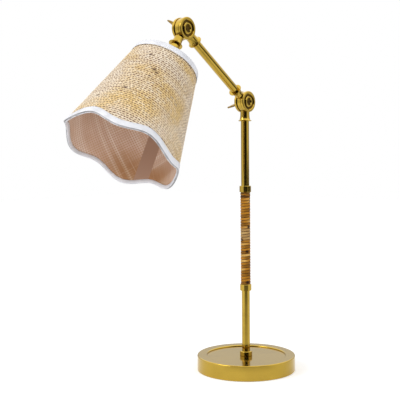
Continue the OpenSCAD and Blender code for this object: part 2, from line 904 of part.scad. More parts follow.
module bulb_cap() {
  r = screw_d/2;
  color(steel) on_shade_axis() difference() {
    rotate_extrude() polygon([
      [0, screw_s],
      [r - 2, screw_s],
      [r, screw_s + 2],
      [r, screw_s + screw_len],
      [0, screw_s + screw_len]
    ]);
    translate([0, 0, screw_s + 4]) cylinder(r = r - 1, h = screw_len);
  }
}

module bulb_contact() {
  color(black) on_shade_axis() rotate_extrude() polygon([
    [0, bulb_s],
    [3, bulb_s],
    [4, bulb_s + 0.8],
    [4, bulb_s + tip_h],
    [screw_d/2 - 3.5, screw_s - fit],
    [0, screw_s - fit]
  ]);
}

// Pear of glass with a round top
module bulb_globe() {
  throat = screw_d/2 - 1 - seat;
  foot = glass_s - 4;
  round_r = bulb_d/2;
  centre = glass_s + bulb_len - round_r;
  function pear(r, neck_r) = concat(
    bend([neck_r, glass_s], [neck_r, glass_s + bulb_len*0.3], [r*cos(20), centre - r*sin(20)]),
    [for (i = [1:2*steps]) let (a = -20 + 110*i/(2*steps)) [r*cos(a), centre + r*sin(a)]]
  );
  outer = pear(round_r, throat);
  inner = pear(round_r - glass_wall, throat - glass_wall);
  color(glass) on_shade_axis() rotate_extrude() polygon(concat(
    [[throat - glass_wall, foot], [throat, foot]],
    [for (p = outer) [max(p[0], 0), p[1]]],
    [for (i = [len(inner) - 1:-1:0]) [max(inner[i][0], 0), inner[i][1]]]
  ));
}

base_shell();
base_weight();
base_pad();
base_washer();
base_nut();
base_nipple();
cord_grommet();
stem_collar();
stem_tube();
lower_ferrule();
rattan_wrap();
upper_ferrule();
elbow_fork();
elbow_washers();
elbow_bolt();
elbow_lock_washer();
elbow_wing_nut();
elbow_disc();
arm_tube();
head_fork();
head_washers();
head_bolt();
head_lock_washer();
head_wing_nut();
head_disc();
socket_cap();
socket_locknut();
socket_insulator();
socket_screw_shell();
socket_contact();
shade_ring();
shade_hub();
shade_spokes();
shade_top_wire();
shade_hem_wire();
shade_raffia();
shade_lining();
top_trim();
hem_trim();
bulb_cap();
bulb_contact();
bulb_globe();
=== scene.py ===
"""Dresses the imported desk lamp: finishes for its metal, a wound cane grip, a woven raffia
shade with its lining and edge tapes, and the studio that it stands in."""

import json
import math

import bmesh
import bpy
from bpy.props import FloatProperty, FloatVectorProperty, IntProperty, PointerProperty
from bpy.types import Operator, Panel, PropertyGroup
from mathutils import Matrix, Vector, noise


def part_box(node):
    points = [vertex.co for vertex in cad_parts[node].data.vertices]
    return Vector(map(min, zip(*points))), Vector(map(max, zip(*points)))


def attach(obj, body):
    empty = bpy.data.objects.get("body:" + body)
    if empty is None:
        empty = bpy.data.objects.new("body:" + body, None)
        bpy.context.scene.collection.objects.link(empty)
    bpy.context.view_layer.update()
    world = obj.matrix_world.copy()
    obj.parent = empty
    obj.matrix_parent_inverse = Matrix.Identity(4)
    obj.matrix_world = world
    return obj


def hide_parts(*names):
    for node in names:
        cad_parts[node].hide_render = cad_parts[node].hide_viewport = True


bl_info = {
    "name": "Scalloped Shade Desk Lamp",
    "version": (1, 0, 0),
    "blender": (4, 5, 0),
    "location": "View3D > Sidebar > Lamp",
    "description": "Finishes, cane, raffia and studio for a packed desk lamp",
    "category": "Object",
}

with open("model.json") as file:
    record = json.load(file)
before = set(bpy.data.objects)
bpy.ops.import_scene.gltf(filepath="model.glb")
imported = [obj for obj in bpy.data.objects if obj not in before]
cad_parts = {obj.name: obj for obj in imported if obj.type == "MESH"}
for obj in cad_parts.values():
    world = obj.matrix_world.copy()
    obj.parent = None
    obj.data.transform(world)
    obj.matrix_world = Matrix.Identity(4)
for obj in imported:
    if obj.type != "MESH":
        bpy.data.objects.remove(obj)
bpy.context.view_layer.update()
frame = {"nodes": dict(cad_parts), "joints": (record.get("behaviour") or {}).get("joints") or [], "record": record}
PIVOTS = {joint["name"]: Vector(joint["pos_m"]) for joint in frame["joints"]}

FULL_TURN = 2 * math.pi
# Distance from the shade's edges to those of its raffia and lining, which the tapes cover
CLOTH_EDGE = 0.0031
# Clouds per metre in the tarnish of polished metal
METAL_CLOUDS = 40.0


# Sizes and colours

def tint(code):
    """Linear colour of a six-figure screen colour such as "d9bd8c"."""
    parts = [int(code[i:i + 2], 16) / 255 for i in (0, 2, 4)]
    return tuple(p / 12.92 if p < 0.04 else ((p + 0.055) / 1.055) ** 2.4 for p in parts)


def length(name, metres, description):
    """A length that the panel shows."""
    return FloatProperty(name=name, description=description, default=metres, unit="LENGTH")


def angle(name, degrees, description):
    """An angle that the panel shows."""
    return FloatProperty(name=name, description=description, default=math.radians(degrees),
                         subtype="ANGLE")


def swatch(name, code, description):
    """A colour that the panel shows."""
    return FloatVectorProperty(name=name, description=description, default=tint(code),
                               subtype="COLOR")


class LampSizes(PropertyGroup):
    """Sizes of the pieces that are modelled here."""

    cane_turns: IntProperty(name="Cane turns", default=33, min=20, max=45,
                            description="Turns of cane that show between the ferrules")
    front_turn: angle("Front", -52, "Side of the stem that faces the camera")
    cane_thickness: length("Cane thickness", 0.0013, "Height of the cane over the tube")
    shade_dip: angle("Shade dip", 53.7, "Slope of the shade's axis below level")
    shade_drop: length("Shade drop", 0.0626, "From the upper pivot to the top edge")
    top_width: length("Top width", 0.0926, "Width of the shade's wall at its top edge")
    hem_width: length("Hem width", 0.1634, "Width of the shade's wall at its hem")
    shade_height: length("Shade height", 0.154, "Height of the shade along its axis")
    scallops: IntProperty(name="Scallops", default=6, description="Scallops around the hem")
    scallop_rise: length("Scallop rise", 0.0049, "Rise and fall of the hem")
    scallop_turn: angle("Scallop turn", -9, "Turn of the scallops")
    row_pitch: length("Row pitch", 0.0033, "Distance between two rows of raffia")
    cell_pitch: length("Cell pitch", 0.0046, "Length of one over and under")
    cloth_front: angle("Cloth front", 52, "Where the rows run level round the shade")
    lining_seam: angle("Lining seam", -109, "Place of the seam in the lining")
    seam_width: length("Seam width", 0.0224, "Width of the strip over the lining's seam")
    tape_outside: length("Tape outside", 0.010, "Width of the edge tape on the outside")
    tape_inside: length("Tape inside", 0.0058, "Width of the edge tape on the inside")


class LampColours(PropertyGroup):
    """Colours of the lamp's finishes."""

    brass: swatch("Brass", "b4963e", "Satin brass")
    brass_dark: swatch("Dark brass", "6a5420", "Brass in its tarnished places")
    steel: swatch("Steel", "bdbec0", "Zinc-plated steel")
    raffia: swatch("Raffia", "eccb8a", "Straw of the weave")
    raffia_pale: swatch("Pale raffia", "f5e3c8", "Pinkish straw")
    raffia_white: swatch("White raffia", "fdf3dc", "Bleached strands")
    raffia_dark: swatch("Dark raffia", "5a2a0c", "Gaps of the weave")
    lining: swatch("Lining", "e1c5b3", "Pinkish tan lining")
    lining_pale: swatch("Pale lining", "f6e8dc", "Pale slubs of the lining")
    seam: swatch("Seam strip", "b08c76", "Smooth strip over the lining's seam")
    tape: swatch("Tape", "ecedf3", "White edge tape")
    cane: swatch("Cane", "b87c20", "Lacquered cane")
    cane_pale: swatch("Pale cane", "d8aa5c", "Light turns of the cane")
    cane_dark: swatch("Dark cane", "4a2410", "Knots and dark turns")


def sizes():
    """The scene's lamp sizes."""
    return bpy.context.scene.lamp_sizes


def colour(name):
    """A lamp colour as four numbers."""
    return (*getattr(bpy.context.scene.lamp_colours, name), 1.0)


def dimmed(name, *shares):
    """A lamp colour times one share, or times one for each channel."""
    return (*(c * shares[i % len(shares)] for i, c in enumerate(colour(name)[:3])), 1.0)


# Node building

class Value:
    """An output of a node, which sums can be written with."""

    def __init__(self, nodes, socket):
        self.nodes = nodes
        self.socket = socket

    def beside(self, name):
        """Another output of the same node."""
        return Value(self.nodes, self.socket.node.outputs[name])

    def __add__(self, other):
        return self.nodes.sum("ADD", self, other)

    def __sub__(self, other):
        return self.nodes.sum("SUBTRACT", self, other)

    def __rsub__(self, other):
        return self.nodes.sum("SUBTRACT", other, self)

    def __mul__(self, other):
        return self.nodes.sum("MULTIPLY", self, other)

    def __truediv__(self, other):
        return self.nodes.sum("DIVIDE", self, other)

    def __abs__(self):
        return self.nodes.sum("ABSOLUTE", self)


class Nodes:
    """Adds nodes to one tree. What a node is given is a Value or a plain number or colour."""

    def __init__(self, tree):
        self.tree = tree

    def feed(self, value, socket):
        """Links a Value to a socket, or sets a plain one there."""
        if isinstance(value, Value):
            self.tree.links.new(value.socket, socket)
        else:
            socket.default_value = value

    def add(self, kind, output, inputs=(), **settings):
        """Adds a node and gives one of its outputs."""
        made = self.tree.nodes.new("ShaderNode" + kind)
        for name, value in settings.items():
            setattr(made, name, value)
        for name, value in dict(inputs).items():
            self.feed(value, made.inputs[name])
        return Value(self, made.outputs[output])

    def sum(self, operation, first, second=0.0, third=None):
        """One sum on two numbers, or on three."""
        inputs = {0: first, 1: second}
        if third is not None:
            inputs[2] = third
        return self.add("Math", 0, inputs, operation=operation)

    def most(self, first, second):
        """The larger of two numbers."""
        return self.sum("MAXIMUM", first, second)

    def hypot(self, x, y):
        """Length of the long side over two sides at right angles."""
        return self.sum("SQRT", x * x + y * y)

    def wave(self, value, pitch, shift=0.0):
        """Sine of a length with its pitch, from -1 to 1."""
        return self.sum("SINE", value * (FULL_TURN / pitch) + shift)

    def steps(self, value, low, high):
        """0 at low, 1 at high and smooth between, whichever of the two is larger."""
        return self.add("MapRange", "Result", {"Value": value, "From Min": low, "From Max": high},
                        interpolation_type="SMOOTHSTEP")

    def slope(self, value, low, high, start, end):
        """A straight run from start at low to end at high."""
        return self.add("MapRange", "Result", {"Value": value, "From Min": low, "From Max": high,
                                               "To Min": start, "To Max": end})

    def mix(self, share, first, second, way="MIX"):
        """Two colours mixed."""
        return self.add("Mix", 2, {0: share, 6: first, 7: second}, data_type="RGBA",
                        blend_type=way)

    def vector(self, operation, output, *inputs):
        """One sum on vectors."""
        return self.add("VectorMath", output, dict(enumerate(inputs)), operation=operation)

    def join(self, x, y):
        """A vector of two numbers."""
        return self.add("CombineXYZ", 0, {"X": x, "Y": y})

    def parts(self, vector):
        """The three numbers of a vector."""
        x = self.add("SeparateXYZ", "X", {"Vector": vector})
        return x, x.beside("Y"), x.beside("Z")

    def place(self):
        """Place on the piece, as its mesh has it."""
        return self.add("TexCoord", "Object")

    def uv(self, name):
        """Place in a UV map."""
        return self.add("UVMap", "UV", uv_map=name)

    def noise(self, place, scale, detail, roughness=0.5):
        """Cloudy noise about 0.5."""
        return self.add("TexNoise", "Fac", {"Vector": place, "Scale": scale, "Detail": detail,
                                            "Roughness": roughness})

    def stretched(self, place, across, down, detail=3.0, deep=1.0):
        """Noise with its own scale along each axis."""
        scaled = self.add("Mapping", 0, {"Vector": place, "Scale": (across, down, deep)})
        return self.noise(scaled, 1.0, detail)

    def patch(self, x, y, place, reach):
        """1 in the middle of an oval on the flat cloth and 0 past its edge."""
        far = self.hypot((x - place[0]) / reach[0], (y - place[1]) / reach[1])
        return self.steps(far, 1.0, 0.25)


def patina_group():
    """Cloudy tone and roughness over a whole piece, in object space."""
    name = "Patina"
    if name in bpy.data.node_groups:
        return bpy.data.node_groups[name]
    tree = bpy.data.node_groups.new(name, "ShaderNodeTree")
    for label, kind, default in (("Colour", "Color", (1, 1, 1, 1)), ("Dark", "Color", (0, 0, 0, 1)),
                                 ("Amount", "Float", 0.3), ("Scale", "Float", METAL_CLOUDS),
                                 ("Low roughness", "Float", 0.12),
                                 ("High roughness", "Float", 0.3)):
        socket = tree.interface.new_socket(label, in_out="INPUT", socket_type="NodeSocket" + kind)
        socket.default_value = default
    for label, kind in (("Colour", "Color"), ("Roughness", "Float"), ("Height", "Float")):
        tree.interface.new_socket(label, in_out="OUTPUT", socket_type="NodeSocket" + kind)
    n = Nodes(tree)
    given = {socket.name: Value(n, socket) for socket in tree.nodes.new("NodeGroupInput").outputs}
    out = tree.nodes.new("NodeGroupOutput").inputs
    place = n.place()
    cloud = n.noise(place, given["Scale"], 5.0, 0.6)
    share = n.steps(cloud, 0.42, 0.72) * given["Amount"]
    n.feed(n.mix(share, given["Colour"], given["Dark"]), out["Colour"])
    n.feed(n.slope(cloud, 0.3, 0.7, given["Low roughness"], given["High roughness"]),
           out["Roughness"])
    n.feed(n.noise(place, given["Scale"] * 14.0, 3.0), out["Height"])
    return tree


class Finish(Nodes):
    """A material with one Principled shader; values are its sockets, with _ for spaces."""

    def __init__(self, name, **values):
        self.material = bpy.data.materials.new(name)
        self.material.use_nodes = True
        super().__init__(self.material.node_tree)
        self.shader = self.tree.nodes["Principled BSDF"]
        for label, value in values.items():
            self.set(label.replace("_", " "), value)

    def set(self, label, value):
        """Gives a socket of the shader its value."""
        self.feed(value, self.shader.inputs[label])

    def bump(self, height, strength, distance):
        """Bump from a height into the shader's normal."""
        self.set("Normal", self.add("Bump", "Normal", {
            "Strength": strength, "Distance": distance, "Height": height}))

    def patina(self, *values):
        """Places the patina with its values in order; gives its colour, roughness and height."""
        group = self.tree.nodes.new("ShaderNodeGroup")
        group.node_tree = patina_group()
        for value, socket in zip(values, group.inputs):
            self.feed(value, socket)
        return [Value(self, socket) for socket in group.outputs]


def metal(name, bright, dark, amount, low, high):
    """Polished metal with cloudy tarnish."""
    made = Finish(name, Metallic=1.0)
    made.tone, made.rough, height = made.patina(bright, dark, amount, METAL_CLOUDS, low, high)
    made.set("Base Color", made.tone)
    made.set("Roughness", made.rough)
    made.bump(height, 0.02, 0.0001)
    return made


def satin_brass(name):
    """The lamp's usual brass."""
    return metal(name, colour("brass"), colour("brass_dark"), 0.25, 0.08, 0.15)


def plain(name, base, dark, roughness, clouds=120.0, bump=0.2, **values):
    """Paint, plastic, rubber or felt with a little tone and grain."""
    made = Finish(name, **values)
    tone, rough, height = made.patina((*base, 1), (*dark, 1), 0.5, clouds, roughness * 0.85,
                                      min(1.0, roughness * 1.15))
    made.set("Base Color", tone)
    made.set("Roughness", rough)
    made.bump(height, bump, 0.0002)
    return made


# Mesh building

def new_piece(name, bm, finishes, body, node):
    """Turns a bmesh into an object that rides on a body and stands for a CAD node."""
    mesh = bpy.data.meshes.new(name)
    bm.to_mesh(mesh)
    bm.free()
    for finish in finishes:
        mesh.materials.append(finish.material)
    for face in mesh.polygons:
        face.use_smooth = True
    piece = bpy.data.objects.new(name, mesh)
    bpy.context.collection.objects.link(piece)
    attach(piece, body)
    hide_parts(node)
    return piece


def start_outline(points):
    """A bmesh that holds one closed outline in the XZ plane."""
    bm = bmesh.new()
    verts = [bm.verts.new((x, 0, z)) for x, z in points]
    edges = [bm.edges.new((vert, verts[(i + 1) % len(verts)])) for i, vert in enumerate(verts)]
    return bm, verts + edges


def screwed(bm, parts, turn, rise, steps_in_all, doublings):
    """Spins an outline along a screw in a few steps, then doubles it along the same screw."""
    share = 1 / 2 ** doublings
    bmesh.ops.spin(bm, geom=parts, cent=(0, 0, 0), axis=(0, 0, 1),
                   dvec=(0, 0, rise / steps_in_all), angle=turn * share,
                   steps=round(steps_in_all * share), use_merge=False, use_duplicate=False)
    while share < 1:
        on = (Matrix.Translation((0, 0, rise * share))
              @ Matrix.Rotation(turn * share, 4, "Z"))
        made = bmesh.ops.duplicate(bm, geom=[*bm.verts, *bm.edges, *bm.faces])["geom"]
        bmesh.ops.transform(bm, matrix=on,
                            verts=[part for part in made if isinstance(part, bmesh.types.BMVert)])
        share *= 2
    bmesh.ops.remove_doubles(bm, verts=bm.verts, dist=1e-6)


def spun(points, columns):
    """A closed outline turned once round the Z axis."""
    bm, parts = start_outline(points)
    screwed(bm, parts, FULL_TURN, 0, columns, 3)
    bmesh.ops.recalc_face_normals(bm, faces=bm.faces)
    return bm


def arc_points(centre, radius, start, end, count):
    """Points of an arc, from a start to an end in degrees."""
    angles = [math.radians(start + (end - start) * i / count) for i in range(count + 1)]
    return [(centre[0] + radius * math.cos(a), centre[1] + radius * math.sin(a)) for a in angles]


class Wall:
    """The shade's wall, with u down its slant from the top edge and v out of it."""

    def __init__(self):
        s = sizes()
        self.radius = s.top_width / 2
        self.drop = s.shade_drop
        self.lean = math.atan((s.hem_width - s.top_width) / 2 / s.shade_height)
        self.sine = math.sin(self.lean)
        self.cosine = math.cos(self.lean)
        self.slant = s.shade_height / self.cosine
        self.cloth_length = self.slant - 2 * CLOTH_EDGE
        self.reach = self.radius / self.sine
        self.scallops = s.scallops
        self.rise = s.scallop_rise
        self.scallop_turn = s.scallop_turn
        self.place_on_lamp = Matrix.Translation(PIVOTS["head_tilt"]) @ Matrix.Rotation(
            math.pi / 2 + s.shade_dip, 4, "X")

    def point(self, u, v):
        """Radius and distance along the shade's axis of a place in the wall."""
        return (self.radius + u * self.sine + v * self.cosine,
                self.drop + u * self.cosine - v * self.sine)

    def read(self, radius, along):
        """The u and v of a radius and a distance along the axis."""
        r = radius - self.radius
        z = along - self.drop
        return r * self.sine + z * self.cosine, r * self.cosine - z * self.sine

    def hem(self, turn):
        """Length of the wall down its slant at a turn, to the scalloped edge."""
        return self.slant + self.rise * math.cos(self.scallops * (turn - self.scallop_turn))

    def column(self, rings, v):
        """Points down a cloth's face, from its top edge."""
        return [self.point(CLOTH_EDGE + self.cloth_length * i / rings, v)
                for i in range(rings + 1)]

    def to_hem(self, u, turn):
        """A place in a straight cloth, drawn out to the scalloped edge."""
        share = (u - CLOTH_EDGE) / self.cloth_length
        return CLOTH_EDGE + share * (self.hem(turn) - 2 * CLOTH_EDGE)

    def flat(self, u, turn, lead):
        """Place on the cloth laid flat, with level rows where turn is lead: across and down."""
        swing = (turn - lead) * self.sine
        return (self.reach + u) * math.sin(swing), (self.reach + u) * math.cos(swing)

    def cloth(self):
        """Width and length of the piece that the shade's cloth is cut from, and its area."""
        low = self.reach + self.slant
        swing = math.pi * self.sine
        flat = 2 * low * math.sin(swing), low - self.reach * math.cos(swing)
        return flat, swing * (low ** 2 - self.reach ** 2)


def from_cut(wall, u, turn):
    """Distance round the wall from a cloth's cut, the shorter way."""
    return min(turn, FULL_TURN - turn) * wall.point(u, 0)[0]


def drape(bm, wall, cut, lead, place):
    """Moves each vertex of a spun wall to where place puts its u, v and turn from the cut, and
    gives the wall two UV maps in metres: cloth, laid flat, and ring, round from the cut and
    down."""
    spots = {}
    for vert in bm.verts:
        turn = math.atan2(vert.co.y, vert.co.x) % FULL_TURN
        if turn > FULL_TURN - 1e-5:
            turn = 0.0
        u, v = wall.read(math.hypot(vert.co.x, vert.co.y), vert.co.z)
        u, v = place(u, v, turn)
        radius, along = wall.point(u, v)
        vert.co = (radius * math.cos(cut + turn), radius * math.sin(cut + turn), along)
        spots[vert] = (u, turn)
    cloth = bm.loops.layers.uv.new("cloth")
    ring = bm.loops.layers.uv.new("ring")
    for face in bm.faces:
        turns = [spots[vert][1] for vert in face.verts]
        crossing = max(turns) - min(turns) > math.pi
        far = max(turns) > math.pi if crossing else sum(turns) / len(turns) > math.pi
        for loop in face.loops:
            u, turn = spots[loop.vert]
            if crossing and turn < math.pi:
                turn += FULL_TURN
            loop[cloth].uv = wall.flat(u, turn, lead)
            loop[ring].uv = ((turn - (FULL_TURN if far else 0)) * wall.point(u, 0)[0], u)
    bmesh.ops.transform(bm, matrix=wall.place_on_lamp, verts=bm.verts)


# Pieces

class LAMP_OT_finish_metal(Operator):
    """Gives the lamp's brass, steel and small fittings their finishes"""

    bl_idname = "lamp.finish_metal"
    bl_label = "Finish Metal"

    # Pivot, and how far about it painted shade sits in a fork's sunk ring and in a bolt's hollow
    sunk = {"elbow_fork": ("elbow_swing", 0.0119), "elbow_bolt": ("elbow_swing", 0.0055),
            "head_fork": ("head_tilt", 0.0119), "head_bolt": ("head_tilt", 0.0055)}
    # How far that painted shade takes to fade at its edge and to set in past the pivot, and how
    # much of the brass it darkens
    fade_edge = 0.0005
    fade_in = 0.003
    painted_shade_share = 0.85

    def execute(self, context):
        phenolic = plain("Phenolic", (0.03, 0.022, 0.018), (0.01, 0.008, 0.007), 0.3)
        by_slot = {
            "brass": satin_brass("Satin brass"),
            "dark_brass": metal("Aged brass", (*tint("8d7238"), 1), colour("brass_dark"),
                                0.9, 0.2, 0.35),
            "steel": metal("Zinc plate", colour("steel"), (0.3, 0.3, 0.32, 1), 0.4, 0.25, 0.45),
            "cast_iron": plain("Cast iron", (0.05, 0.05, 0.052), (0.02, 0.02, 0.02), 0.7,
                               Metallic=0.6),
            "felt": plain("Felt", (0.03, 0.028, 0.026), (0.01, 0.01, 0.01), 0.95, 900.0, 1.0),
            "rubber": plain("Rubber", (0.02, 0.02, 0.02), (0.01, 0.01, 0.01), 0.6),
            "phenolic": phenolic,
            "white_wire": plain("White enamel", (0.75, 0.74, 0.7), (0.6, 0.58, 0.52), 0.35),
            "bulb_metal": metal("Bulb cap", (0.7, 0.7, 0.7, 1), (0.4, 0.4, 0.4, 1),
                                0.3, 0.2, 0.4),
            "bulb_insulator": phenolic,
            "bulb_glass": plain("Frosted glass", (0.9, 0.89, 0.86), (0.85, 0.84, 0.8), 0.35,
                                60.0, 0.05),
        }
        by_node = {"base_shell": self.turned_brass(),
                   **{node: self.brass_with_painted_hollow_shade(node) for node in self.sunk}}
        for entry in frame["record"]["subparts"]:
            node = entry["node"]
            finish = by_node.get(node) or by_slot.get(entry["material_slot"])
            if finish:
                mesh = frame["nodes"][node].data
                mesh.materials.clear()
                mesh.materials.append(finish.material)
        return {"FINISHED"}

    def brass_with_painted_hollow_shade(self, node):
        """Brass with painted shade, near black, where it lies sunk about a pivot, on the +X side."""
        joint, reach = self.sunk[node]
        n = satin_brass("Brass of " + node)
        away = n.vector("SUBTRACT", 0, n.place(), tuple(PIVOTS[joint]))
        level = n.vector("MULTIPLY", 0, away, (0, 1, 1))
        far = n.vector("LENGTH", "Value", level)
        near = n.steps(far, reach, reach - self.fade_edge)
        share = near * n.steps(n.parts(away)[0], 0.0, self.fade_in) * self.painted_shade_share
        # Painted shade: near black and rougher in the sunk ring and in the bolt's hollow
        n.set("Base Color", n.mix(share, n.tone, (0.035, 0.014, 0.002, 1)))
        n.set("Roughness", n.mix(share, n.rough, (0.4, 0.4, 0.4, 1)))
        return n

    def turned_brass(self):
        """Brass polished in rings about the stem, with faint streaks across them."""
        n = Finish("Turned brass", Metallic=1.0, Anisotropic=0.4)
        tone, rough, _ = n.patina(colour("brass"), colour("brass_dark"), 0.12, 22.0, 0.09, 0.15)
        n.set("Base Color", tone)
        n.set("Tangent", n.add("Tangent", 0, direction_type="RADIAL", axis="Z"))
        x, y, z = n.parts(n.place())
        turn = n.sum("ARCTAN2", y, x)
        streak = n.noise(n.join(n.sum("SINE", turn), n.sum("COSINE", turn)), 5.0, 4.0)
        n.set("Roughness", n.most(n.sum("MULTIPLY_ADD", streak - 0.5, 0.2, rough), 0.06))
        lines_per_metre = 1800.0
        rings = n.join(n.hypot(x, y) * lines_per_metre, z * lines_per_metre)
        n.bump(n.noise(rings, 1.0, 2.0), 0.05, 0.0001)
        return n


class LAMP_OT_wind_cane(Operator):
    """Winds the grip with split cane between its ferrules"""

    bl_idname = "lamp.wind_cane"
    bl_label = "Wind Cane"

    # Steps round the stem in a turn, and along the outline of the cane
    around = 48
    sides = 10
    # Half width of the cane as a share of the pitch, and how square its crown is
    half_share = 0.488
    crown_power = 0.55
    # How far the crown of a turn swells or shrinks
    swell_height = 0.00012
    # Play between the cane and the tube, and between its ends and those of the CAD winding
    under_play = 0.0001
    end_play = 0.0002
    # Height over the desk, turn from the front and half length of each knot, and their half width
    knots = ((0.2258, 0.75, 0.0026), (0.2055, -0.85, 0.0020), (0.1873, 0.32, 0.0024),
             (0.1389, 0.42, 0.0028), (0.2440, 2.6, 0.0026), (0.1620, 3.4, 0.0024),
             (0.2160, 4.4, 0.0022))
    knot_half = 0.0021
    # Dark turns under the upper ferrule: from and to, down from the ferrule
    dark_turns = ((-0.01, 0.0026), (0.0052, 0.0078))
    # Dark end of the cane: how far down it goes, and its turns from the front
    dark_end = (0.016, 1.0, 2.2)
    # Height and half heights of the greyed turns
    greyed = (0.2145, 0.012, 0.006)

    def execute(self, context):
        s = sizes()
        low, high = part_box("rattan_wrap")
        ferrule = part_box("upper_ferrule")[0][2]
        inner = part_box("stem_tube")[1][0] + self.under_play
        pitch = (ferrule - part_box("lower_ferrule")[1][2]) / s.cane_turns
        half = pitch * self.half_share
        start = low[2] + self.end_play
        rise = high[2] - start - self.end_play - 2 * half
        outline = []
        for i in range(self.sides + 1):
            a = math.pi * i / self.sides
            outline.append((inner + s.cane_thickness * math.sin(a) ** self.crown_power,
                            start + half - half * math.cos(a)))
        bm, parts = start_outline(outline)
        doublings = 4
        share = 2 ** doublings
        count = share * round(self.around * rise / pitch / share)
        screwed(bm, parts, FULL_TURN * rise / pitch, rise, count, doublings)
        bmesh.ops.holes_fill(bm, edges=[e for e in bm.edges if e.is_boundary])
        bmesh.ops.recalc_face_normals(bm, faces=bm.faces)
        self.vary(bm, inner, start + half, pitch, ferrule)
        new_piece("cane_winding", bm, [self.finish()], "base", "rattan_wrap")
        return {"FINISHED"}

    def vary(self, bm, inner, start, pitch, top):
        """Uneven turns, with the tone of each turn and its knots as attributes."""
        tone = bm.verts.layers.float.new("tone")
        knot = bm.verts.layers.float.new("knot")
        crown = bm.verts.layers.float.new("crown")
        front = sizes().front_turn
        thickness = sizes().cane_thickness
        end_reach, end_from, end_to = self.dark_end
        for vert in bm.verts:
            radius = math.hypot(vert.co.x, vert.co.y)
            heading = math.atan2(vert.co.y, vert.co.x)
            part_turn = heading / FULL_TURN
            turn = round((vert.co.z - start) / pitch - part_turn) + part_turn
            swell = noise.noise(Vector((turn * 2.3, 3.1, 0.7)))
            share = (radius - inner) / thickness
            wanted = radius + share * self.swell_height * swell
            vert.co.x *= wanted / radius
            vert.co.y *= wanted / radius
            vert[crown] = share
            vert[tone] = 0.5 + noise.noise(Vector((turn * 1.3, 11.0, 5.0)))
            below = top - vert.co.z
            if any(near < below < far for near, far in self.dark_turns):
                vert[knot] = 0.8
            if below < end_reach and end_from < (heading - front) % FULL_TURN < end_to:
                vert[knot] = 1.0
            for height, place, reach in self.knots:
                away = (heading - front - place + math.pi) % FULL_TURN - math.pi
                far = math.hypot(away * radius / reach, (vert.co.z - height) / self.knot_half)
                if far < 1.4:
                    vert[knot] = max(vert[knot], min(1.0, 1.6 - far))

    def finish(self):
        """Lacquered cane with fibres, painted shade in the grooves between turns, and knots."""
        n = Finish("Cane", Roughness=0.45, Specular_IOR_Level=0.15)
        place = n.place()
        grain = n.stretched(place, 60.0, 60.0)
        fibre = n.stretched(place, 70.0, 70.0, 4.0, 1600.0)
        tone, knot, crown = (n.add("Attribute", "Fac", attribute_name=name)
                             for name in ("tone", "knot", "crown"))
        deep = dimmed("cane", 0.5)
        skin = n.mix(n.steps(tone, 0.25, 0.55), deep, colour("cane"))
        skin = n.mix(n.steps(tone, 0.52, 0.8), skin, colour("cane_pale"))
        height, far, near = self.greyed
        grey = n.steps(abs(n.parts(place)[2] - height), far, near) * 0.5
        skin = n.mix(grey, skin, (0.42, 0.34, 0.18, 1))
        skin = n.mix(n.steps(fibre, 0.5, 0.72) * 0.5, skin, deep)
        # Painted shade: near black towards the cane's edges, in the grooves between its turns
        skin = n.mix(n.steps(crown, 0.95, 0.5) * 0.95, skin, colour("cane_dark"))
        marks = knot * n.steps(grain, 0.25, 0.5)
        n.set("Base Color", n.mix(marks, skin, dimmed("cane_dark", 0.3)))
        n.bump(fibre, 0.25, 0.0002)
        return n


